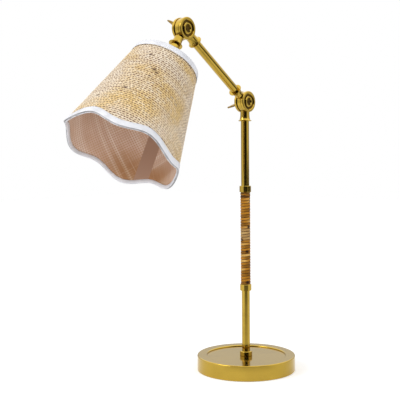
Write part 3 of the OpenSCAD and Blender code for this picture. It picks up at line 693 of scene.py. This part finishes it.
class LAMP_OT_weave_shade(Operator):
    """Weaves the raffia wall of the shade"""

    bl_idname = "lamp.weave_shade"
    bl_label = "Weave Shade"

    columns = 512
    rings = 184
    # Inner and outer face of the cloth, out of the wall's middle
    inner = 0.00005
    outer = 0.00095
    # Height of the weave and of its slubs, and the lap at the cut: its height and half width
    weave_height = 0.00026
    slub_height = 0.00016
    lap = (0.00025, 0.006)
    # Sway of all rows: height, pitch and phase
    sway = (0.0004, 0.13, 1.3)
    # Shift of a row's cells: phase for each row, and share of a cell
    shift = (2.4, 0.3)
    # Bend of a row's cells: pitch, phase for each row, and share of a cell
    bend = (0.023, 1.9, 0.2)
    # The same for the dashes in the gap between two rows
    gap_bend = (0.031, 2.3, 0.25)
    # Middle and half size on the flat cloth of golden places, painted shade on the shade's right,
    # of pale places, the first painted light on its lit left, and of its dark flecks
    golden_and_shaded_places = (((-0.012, 0.320), (0.050, 0.036)), ((-0.046, 0.222), (0.040, 0.012)),
              ((-0.060, 0.292), (0.022, 0.040)))
    pale_and_lit_places = (((0.050, 0.290), (0.034, 0.070)), ((-0.075, 0.250), (0.016, 0.030)))
    flecks = (((0.0099, 0.236), (0.0042, 0.0022)), ((-0.0050, 0.2600), (0.0056, 0.0030)),
              ((-0.0095, 0.2635), (0.0046, 0.0024)), ((0.016, 0.3055), (0.0040, 0.0024)),
              ((0.048, 0.3229), (0.0044, 0.0020)), ((-0.004, 0.2735), (0.0034, 0.0020)))
    # Dark dotted line just below the top tape: place down the wall, half widths, and pitch
    dotted_line = (0.0112, 0.0004, 0.0009, 0.0032)

    def execute(self, context):
        wall = Wall()
        back = [wall.point(CLOTH_EDGE + wall.cloth_length, self.inner),
                wall.point(CLOTH_EDGE, self.inner)]
        bm = spun(wall.column(self.rings, self.outer) + back, self.columns)
        s = sizes()
        cut = s.cloth_front - math.pi
        row_pitch, cell_pitch = s.row_pitch, s.cell_pitch
        lap, lap_half = self.lap

        def place(u, v, turn):
            u = wall.to_hem(u, cut + turn)
            if v > (self.inner + self.outer) / 2:
                across, down = wall.flat(u, turn, math.pi)
                height = self.relief(across, down, row_pitch, cell_pitch)
                slub = noise.noise(Vector((across * 60, down * 170, 2.0)))
                v = (self.outer + (lap if from_cut(wall, u, turn) < lap_half else 0.0)
                     + self.weave_height * height + self.slub_height * slub)
            return u, v

        drape(bm, wall, cut, math.pi, place)
        new_piece("raffia_shade", bm, [self.finish()], "head", "shade_raffia")
        return {"FINISHED"}

    def relief(self, across, down, row_pitch, cell_pitch):
        """Height of the weave at a place of the flat cloth, from -1 to 1."""
        sway, pitch, phase = self.sway
        row = (down + sway * math.sin(FULL_TURN * across / pitch + phase)) / row_pitch
        index = math.floor(row)
        strand = 1 - abs(2 * (row - index) - 1) ** 2.2
        row_phase, shift = self.shift
        bend_pitch, bend_phase, bend = self.bend
        wobble = (shift * math.sin(row_phase * index)
                  + bend * math.sin(FULL_TURN * across / bend_pitch + bend_phase * index))
        cell = across / cell_pitch + 0.5 * index + wobble
        over = 0.5 + 0.5 * math.cos(FULL_TURN * cell)
        return strand * (0.5 + 0.5 * over) * 2 - 1

    def finish(self):
        """Straw in rows of overs and unders, with dark dashes between the rows."""
        s = sizes()
        n = Finish("Raffia", Roughness=0.7, Sheen_Weight=0.1)
        place = n.uv("cloth")
        x, y, _ = n.parts(place)
        ring_x, ring_y, _ = n.parts(n.uv("ring"))
        sway, pitch, phase = self.sway
        row = (y + n.wave(x, pitch, phase) * sway) / s.row_pitch
        index = n.sum("FLOOR", row)
        strand = n.sum("PINGPONG", n.sum("FRACT", row), 0.5)
        row_phase, shift = self.shift
        bend_pitch, bend_phase, bend = self.bend
        wobble = (n.sum("SINE", index * row_phase) * shift
                  + n.wave(x, bend_pitch, index * bend_phase) * bend)
        cell = x / s.cell_pitch + (index * 0.5 + wobble)
        over = n.sum("COSINE", cell * FULL_TURN)
        spot = n.join(index, n.sum("FLOOR", cell + 0.5))
        lot = n.add("TexWhiteNoise", "Value", {"Vector": spot}, noise_dimensions="2D")
        gap = n.sum("FLOOR", row + 0.5)
        gap_lot = n.add("TexWhiteNoise", "Value", {"W": gap}, noise_dimensions="1D")
        gap_pitch, gap_phase, gap_bend = self.gap_bend
        gap_shift = gap_lot * 0.6 + n.wave(x, gap_pitch, gap * gap_phase) * gap_bend
        stitch = n.sum("COSINE", (x / s.cell_pitch + gap_shift) * FULL_TURN)
        fibre = n.stretched(place, 120.0, 1700.0)
        streak = n.stretched(place, 90.0, 330.0, 2.0)
        drift = n.stretched(place, 13.0, 24.0, 2.0)

        # Random golden drift, with painted shade on the right and painted light on the lit left
        gold_and_painted_light = n.steps(drift, 0.36, 0.70)
        for middle, reach in self.golden_and_shaded_places:
            gold_and_painted_light = n.most(gold_and_painted_light, n.patch(x, y, middle, reach))
        for middle, reach in self.pale_and_lit_places:
            gold_and_painted_light = gold_and_painted_light * (1.0 - n.patch(x, y, middle, reach))
        tone = n.mix(gold_and_painted_light, colour("raffia_pale"), colour("raffia"))
        light = lot * 0.8 + streak * 0.4
        tone = n.mix(n.steps(light, 0.62, 1.05) * 0.45, tone, colour("raffia_white"))
        tan = (*(a * 0.6 + b * 0.1 for a, b in zip(colour("raffia")[:3],
                                                   colour("raffia_dark")[:3])), 1.0)
        tone = n.mix(n.steps(light, 0.6, 0.25) * 0.3, tone, tan)
        tone = n.mix(n.steps(fibre, 0.5, 0.75) * 0.25, tone, tan)

        every_other = n.sum("FLOORED_MODULO", gap, 2.0)
        bold = n.steps(every_other * 0.25 + (gap_lot * 0.55 + streak * 1.1), 0.65, 1.3)
        edge = n.sum("MULTIPLY_ADD", bold, 0.06, 0.27)
        dash = n.most(n.steps(stitch, 0.85, 0.0), bold * 0.35)
        slit = n.steps(strand, edge, edge * 0.5) * dash
        under = n.steps(over, -0.4, -0.95) * 0.25
        depth = n.sum("MULTIPLY_ADD", bold, 0.2, 0.8)
        tone = n.mix(n.most(slit, under) * depth, tone, colour("raffia_dark"))
        fleck = n.steps(lot + drift * 0.4, 1.25, 1.3)
        for middle, reach in self.flecks:
            fleck = n.most(fleck, n.patch(x, y, middle, reach))
        tone = n.mix(fleck * 0.85, tone, (0.05, 0.012, 0.002, 1))

        down, near, far, pitch = self.dotted_line
        line = 1.0 - n.steps(abs(ring_y - down), near, far)
        dot = n.steps(n.sum("PINGPONG", ring_x / pitch, 0.5), 0.12, 0.2)
        n.set("Base Color", n.mix(line * dot, tone, (0.05, 0.028, 0.014, 1)))
        crown = strand * 2.0 * (1.0 - under * 0.8)
        n.bump(crown + fibre * 0.5, 0.35, 0.0004)
        return n


class LAMP_OT_line_shade(Operator):
    """Lines the shade with slubbed cloth and covers its seam with a strip"""

    bl_idname = "lamp.line_shade"
    bl_label = "Line Shade"

    columns = 384
    rings = 24
    # Outer and inner face of the cloth, out of the wall's middle, and the strip's thickness
    outer = -0.00006
    inner = -0.00055
    strip_height = 0.00012
    # Half the softness of the strip's edge in the finish, and the pitch of the cloth's threads
    strip_edge = 0.0003
    thread_pitch = 0.0034
    # Place down the flat cloth, half width and strength of the widest pale slubs
    bands = ((0.2665, 0.0042, 0.7), (0.2790, 0.0046, 0.55), (0.3130, 0.0110, 0.4))

    def execute(self, context):
        wall = Wall()
        rear = wall.column(self.rings, self.inner)[::-1]
        bm = spun(wall.column(self.rings, self.outer) + rear, self.columns)
        s = sizes()
        cut = s.lining_seam
        strip = s.seam_width / 2

        def place(u, v, turn):
            u = wall.to_hem(u, cut + turn)
            if v < (self.outer + self.inner) / 2 and from_cut(wall, u, turn) < strip:
                v -= self.strip_height
            return u, v

        drape(bm, wall, cut, (s.cloth_front - cut) % FULL_TURN, place)
        lining = new_piece("lining_cloth", bm, [self.finish()], "head", "shade_lining")
        return {"FINISHED"}

    def finish(self):
        """Crossed threads with pale slubs, painted shade low near the seam, and the smooth strip."""
        n = Finish("Lining", Roughness=0.85, Sheen_Weight=0.1)
        place = n.uv("cloth")
        x, y, _ = n.parts(place)
        ring_x, ring_y, _ = n.parts(n.uv("ring"))
        broad = n.stretched(place, 4.0, 60.0, 1.0)
        slub = n.stretched(place, 5.0, 420.0)
        cross = n.stretched(place, 480.0, 7.0, 2.0)
        drift = n.stretched(place, 16.0, 16.0, 2.0)
        deep = dimmed("lining", 0.76, 0.58, 0.40)
        # Painted shade: darker and browner towards the hem, near the seam
        low = n.steps(ring_y + drift * 0.02, 0.120, 0.155) * n.steps(abs(ring_x), 0.075, 0.025)
        tone = n.mix(low, colour("lining"), deep)
        tone = n.mix(n.steps(drift, 0.5, 0.7) * 0.4, tone, deep)
        pale = n.steps(broad, 0.58, 0.66) * 0.4 + n.steps(slub, 0.6, 0.7) * 0.6
        for down, half, share in self.bands:
            pale = n.most(pale, n.patch(x, y, (0.0, down), (1.0, half)) * share)
        tone = n.mix(n.sum("MINIMUM", pale, 0.85), tone, colour("lining_pale"))
        tone = n.mix(n.steps(slub, 0.4, 0.3) * 0.3, tone, deep)
        tone = n.mix(n.steps(cross, 0.5, 0.7) * 0.3, tone, colour("lining_pale"))
        thread = n.most(n.wave(x, self.thread_pitch), n.wave(y, self.thread_pitch))
        tone = n.mix(n.steps(thread, 0.9, 0.2) * 0.75, tone, deep)
        # More painted shade there, multiplied in
        tone = n.mix(low, tone, (0.74, 0.64, 0.5, 1), "MULTIPLY")
        half = sizes().seam_width / 2
        strip = 1.0 - n.steps(abs(ring_x), half - self.strip_edge, half + self.strip_edge)
        n.set("Base Color", n.mix(strip, tone, colour("seam")))
        n.bump(thread * (1.0 - strip), 0.3, 0.0002)
        return n


class LAMP_OT_bind_edges(Operator):
    """Binds both edges of the shade with folded white tape"""

    bl_idname = "lamp.bind_edges"
    bl_label = "Bind Edges"

    columns = 432
    # Middle of the wire out of the wall's middle, its radius with the tape round it, and the
    # tape's thickness
    mid = 0.0003
    wire = 0.00175
    thick = 0.0005
    # Ripple of the tapes along the wall and out of it
    ripple_along = 0.00012
    ripple_out = 0.00008

    def execute(self, context):
        wall = Wall()
        tape = self.finish()
        # Painted shadow of the gap under the hem tape, grey with near-black clouds
        shadow = plain("Hem shadow", (0.42, 0.41, 0.42), (0.035, 0.022, 0.016), 0.6, 26.0)
        top = self.bind(wall, "top_tape", [tape], "top_trim", self.top_outline(),
                        lambda turn: 0.0, 1)
        low = self.bind(wall, "hem_tape", [tape, shadow], "hem_trim", self.hem_outline(),
                        wall.hem, -1)
        return {"FINISHED"}

    def outline(self, fold, back):
        """Closed section of a tape, with its fold and the back of that between its two leaves:
        distance from the edge, and v."""
        s = sizes()
        wide, narrow = s.tape_outside, s.tape_inside
        out, into = self.mid + self.wire, self.mid - self.wire
        outside = [(wide, out - 0.0006), (wide - 0.0004, out - 0.0002),
                   (wide * 0.6, out - 0.0001)]
        inside = [(narrow - 0.0004, into), (narrow, into + self.thick)]
        return outside + fold + inside + back + [(wide * 0.6, out - self.thick - 0.0001)]

    def top_outline(self):
        """Section of the top tape, folded round the wire."""
        middle = (self.wire, self.mid)
        return self.outline(arc_points(middle, self.wire, 90, 270, 10),
                            arc_points(middle, self.wire - self.thick, 270, 90, 10))

    def hem_outline(self):
        """Section of the hem tape, with the wire bare between its leaves."""
        r, m, t = self.wire, self.mid, self.thick
        lip = [(sizes().tape_outside * 0.3, m + r), (0.0014, m + r + 0.0001),
               (0.0009, m + r - 0.0001), (0.0009, m + r - t)]
        bare = arc_points((r, m), r - t, 120, 212, 7)
        tip = [(0.0005, m - 0.0011), (0.0002, m - 0.0013), (0.0005, m - 0.0016)]
        return self.outline(lip + bare + tip + arc_points((r, m), r, 240, 270, 3),
                            [(r, m - r + t), (r, m + r - t)])

    def bind(self, wall, name, finishes, node, outline, edge, sense):
        """Spins a section and bends it along its edge."""
        base = wall.slant if sense < 0 else 0.0
        bm = spun([wall.point(base + sense * e, v) for e, v in outline], self.columns)
        cut = sizes().cloth_front - math.pi

        def place(u, v, turn):
            turn += cut
            away = (u - base) * sense
            ripple = noise.noise(Vector((math.cos(turn) * 9, math.sin(turn) * 9, away * 200)))
            u = edge(turn) + sense * (away + self.ripple_along * ripple)
            return u, v + self.ripple_out * ripple

        drape(bm, wall, cut, math.pi, place)
        if len(finishes) > 1:
            self.paint_hem_shadow(bm, wall)
        return new_piece(name, bm, finishes, "head", node)

    def paint_hem_shadow(self, bm, wall):
        """Gives the faces between the tape's leaves, over the wire, the painted hem shadow."""
        back = wall.place_on_lamp.inverted()
        for face in bm.faces:
            spot = back @ face.calc_center_median()
            u, v = wall.read(math.hypot(spot.x, spot.y), spot.z)
            away = wall.hem(math.atan2(spot.y, spot.x)) - u
            near = math.hypot(away - self.wire, v - self.mid)
            inside = near < self.wire - 0.6 * self.thick
            if away < self.wire and inside and v > self.mid - 0.0009:
                face.material_index = 1

    def finish(self):
        """White cotton with a fine twill."""
        n = Finish("Tape", Roughness=0.6, Sheen_Weight=0.2)
        x, y, _ = n.parts(n.uv("ring"))
        cloud = n.noise(n.place(), 70.0, 3.0)
        n.set("Base Color", n.mix(n.steps(cloud, 0.4, 0.7), colour("tape"), dimmed("tape", 0.86)))
        twill = n.sum("SINE", (x + y) * 5200.0)
        ribs = n.sum("SINE", x * 9000.0)
        n.bump((twill + ribs) * 0.5, 0.1, 0.0001)
        return n


class LAMP_OT_set_stage(Operator):
    """Sets the floor, the lights, the surroundings and the camera"""

    bl_idname = "lamp.set_stage"
    bl_label = "Set Stage"

    # Half width of the floor, and strength of the surroundings' light
    floor_half = 4.0
    world_light = 0.54
    # How much brighter than white the sky is that polished metal shows
    sky_lift = 0.7
    # How much white the camera sees in the floor beside the lamp and far from it
    near_lift = 0.42
    far_lift = 0.54
    # Name, place, aim, width and power of each lamp, and whether metal shows it
    lamps = (("key", (-0.6, -1.4, 1.3), (0, -0.1, 0.3), 0.8, 12.0, True),
             ("fill", (1.6, -0.4, 0.8), (0, -0.1, 0.3), 1.2, 8.0, False),
             ("low", (0.3, -1.5, 0.14), (0, -0.26, 0.36), 0.7, 3.6, False))
    # Heading from -Y towards +X, half width and faded half width, in degrees, of the dark room
    # in front of the lamp, of the floor's dark far part at its side and of the grey wall at its
    # back
    front = (46, 30, 54)
    side = (124, 24, 42)
    wall = (218, 40, 90)
    # Camera: distance from the stem and height, and its azimuth, pitch, yaw and roll in degrees
    camera_place = (1.33829, 0.34713)
    camera_turns = (37.99, 3.39, 3.03, -0.47)
    # Focal length in pixels of a picture that is so many pixels wide
    focus = (857.46, 400)

    def execute(self, context):
        self.lay_floor()
        self.light()
        self.surround(context.scene)
        self.place_camera(context.scene)
        context.scene.view_settings.view_transform = "Standard"
        return {"FINISHED"}

    def rays(self, n):
        """Whether a ray comes from the camera or from polish, and whether it is from polish."""
        camera = n.add("LightPath", "Is Camera Ray")
        glossy = camera.beside("Is Glossy Ray")
        return n.most(camera, n.most(glossy, camera.beside("Is Transmission Ray"))), glossy

    def sector(self, n, parts, heading, half, faded):
        """1 within half of a heading and 0 past its faded half width."""
        turn = n.sum("ARCTAN2", parts[0], parts[1] * -1.0)
        near = n.sum("COSINE", turn - math.radians(heading))
        return n.steps(near, math.cos(math.radians(faded)), math.cos(math.radians(half)))

    def lay_floor(self):
        """A wide floor that is white to the camera and dark in parts to polished metal."""
        n = Finish("Floor", Roughness=0.9, Emission_Color=(1, 1, 1, 1))
        seen, glossy = self.rays(n)
        place = n.place()
        away = n.vector("LENGTH", "Value", place)
        parts = n.parts(place)
        dark = self.sector(n, parts, *self.front) * n.slope(away, 0.15, 0.9, 0.3, 0.96)
        dark = dark * n.steps(away, 0.12, 0.18)
        far = self.sector(n, parts, *self.side) * n.steps(away, 0.9, 1.3)
        dark = n.most(dark, far * 0.9) * glossy
        n.set("Base Color", n.mix(dark, (0.9, 0.9, 0.9, 1), (0, 0, 0, 1)))
        lift = n.slope(away, 0.2, 1.6, self.near_lift, self.far_lift)
        n.set("Emission Strength", seen * (1.0 - dark) * lift)
        bm = bmesh.new()
        bmesh.ops.create_grid(bm, x_segments=1, y_segments=1, size=self.floor_half)
        mesh = bpy.data.meshes.new("floor")
        bm.to_mesh(mesh)
        bm.free()
        mesh.materials.append(n.material)
        floor = bpy.data.objects.new("floor", mesh)
        bpy.context.collection.objects.link(floor)

    def light(self):
        """Square lamps that aim at the object."""
        for name, place, target, size, power, shown in self.lamps:
            data = bpy.data.lights.new(name, "AREA")
            data.size = size
            data.energy = power
            lamp = bpy.data.objects.new(name, data)
            lamp.location = place
            aim = Vector(target) - lamp.location
            lamp.rotation_euler = aim.to_track_quat("-Z", "Y").to_euler()
            lamp.visible_glossy = shown
            bpy.context.collection.objects.link(lamp)

    def surround(self, scene):
        """White surroundings, with dark parts of a room that polished metal shows."""
        world = bpy.data.worlds.new("studio")
        scene.world = world
        world.use_nodes = True
        n = Nodes(world.node_tree)
        back = world.node_tree.nodes["Background"].inputs
        seen, glossy = self.rays(n)
        ray = n.parts(n.add("TexCoord", "Generated"))
        height = abs(ray[2])
        front = self.sector(n, ray, *self.front) * n.steps(height, 0.6, 0.35)
        wall = self.sector(n, ray, *self.wall) * n.steps(height, 0.42, 0.0)
        below = self.sector(n, ray, *self.side) * n.steps(ray[2], 0.0, -0.03)
        grey = n.most(n.most(front, below) * 0.98, wall * 0.5) * glossy
        n.feed(n.mix(grey, (1, 1, 1, 1), (0, 0, 0, 1)), back["Color"])
        strength = n.slope(seen, 0.0, 1.0, self.world_light, 1.0)
        sky = n.steps(ray[2], 0.22, 0.5) * glossy
        n.feed(n.sum("MULTIPLY_ADD", sky, self.sky_lift, strength), back["Strength"])

    def place_camera(self, scene):
        """The photograph's camera."""
        distance, height = self.camera_place
        azimuth, pitch, yaw, roll = (math.radians(turn) for turn in self.camera_turns)
        focal, width = self.focus
        data = bpy.data.cameras.new("camera")
        data.sensor_width = 36.0
        data.lens = focal * data.sensor_width / width
        camera = bpy.data.objects.new("camera", data)
        camera.matrix_world = (
            Matrix.Translation((distance * math.sin(azimuth), -distance * math.cos(azimuth),
                                height))
            @ Matrix.Rotation(azimuth + yaw, 4, "Z")
            @ Matrix.Rotation(math.pi / 2 - pitch, 4, "X")
            @ Matrix.Rotation(roll, 4, "Z")
        )
        bpy.context.collection.objects.link(camera)
        scene.camera = camera


class LAMP_PT_panel(Panel):
    """Lists the lamp's operators and sizes"""

    bl_label = "Desk Lamp"
    bl_space_type = "VIEW_3D"
    bl_region_type = "UI"
    bl_category = "Lamp"

    def draw(self, context):
        for operator in OPERATORS:
            self.layout.operator(operator.bl_idname)
        for group in (context.scene.lamp_sizes, context.scene.lamp_colours):
            for name in group.__annotations__:
                self.layout.prop(group, name)


OPERATORS = (LAMP_OT_finish_metal, LAMP_OT_wind_cane, LAMP_OT_weave_shade, LAMP_OT_line_shade,
             LAMP_OT_bind_edges, LAMP_OT_set_stage)
CLASSES = (LampSizes, LampColours, *OPERATORS, LAMP_PT_panel)


def register():
    for cls in CLASSES:
        bpy.utils.register_class(cls)
    bpy.types.Scene.lamp_sizes = PointerProperty(type=LampSizes)
    bpy.types.Scene.lamp_colours = PointerProperty(type=LampColours)


def unregister():
    del bpy.types.Scene.lamp_colours
    del bpy.types.Scene.lamp_sizes
    for cls in reversed(CLASSES):
        bpy.utils.unregister_class(cls)


def main():
    register()
    for operator in OPERATORS:
        group, name = operator.bl_idname.split(".")
        getattr(getattr(bpy.ops, group), name)()


if __name__ == "__main__":
    main()
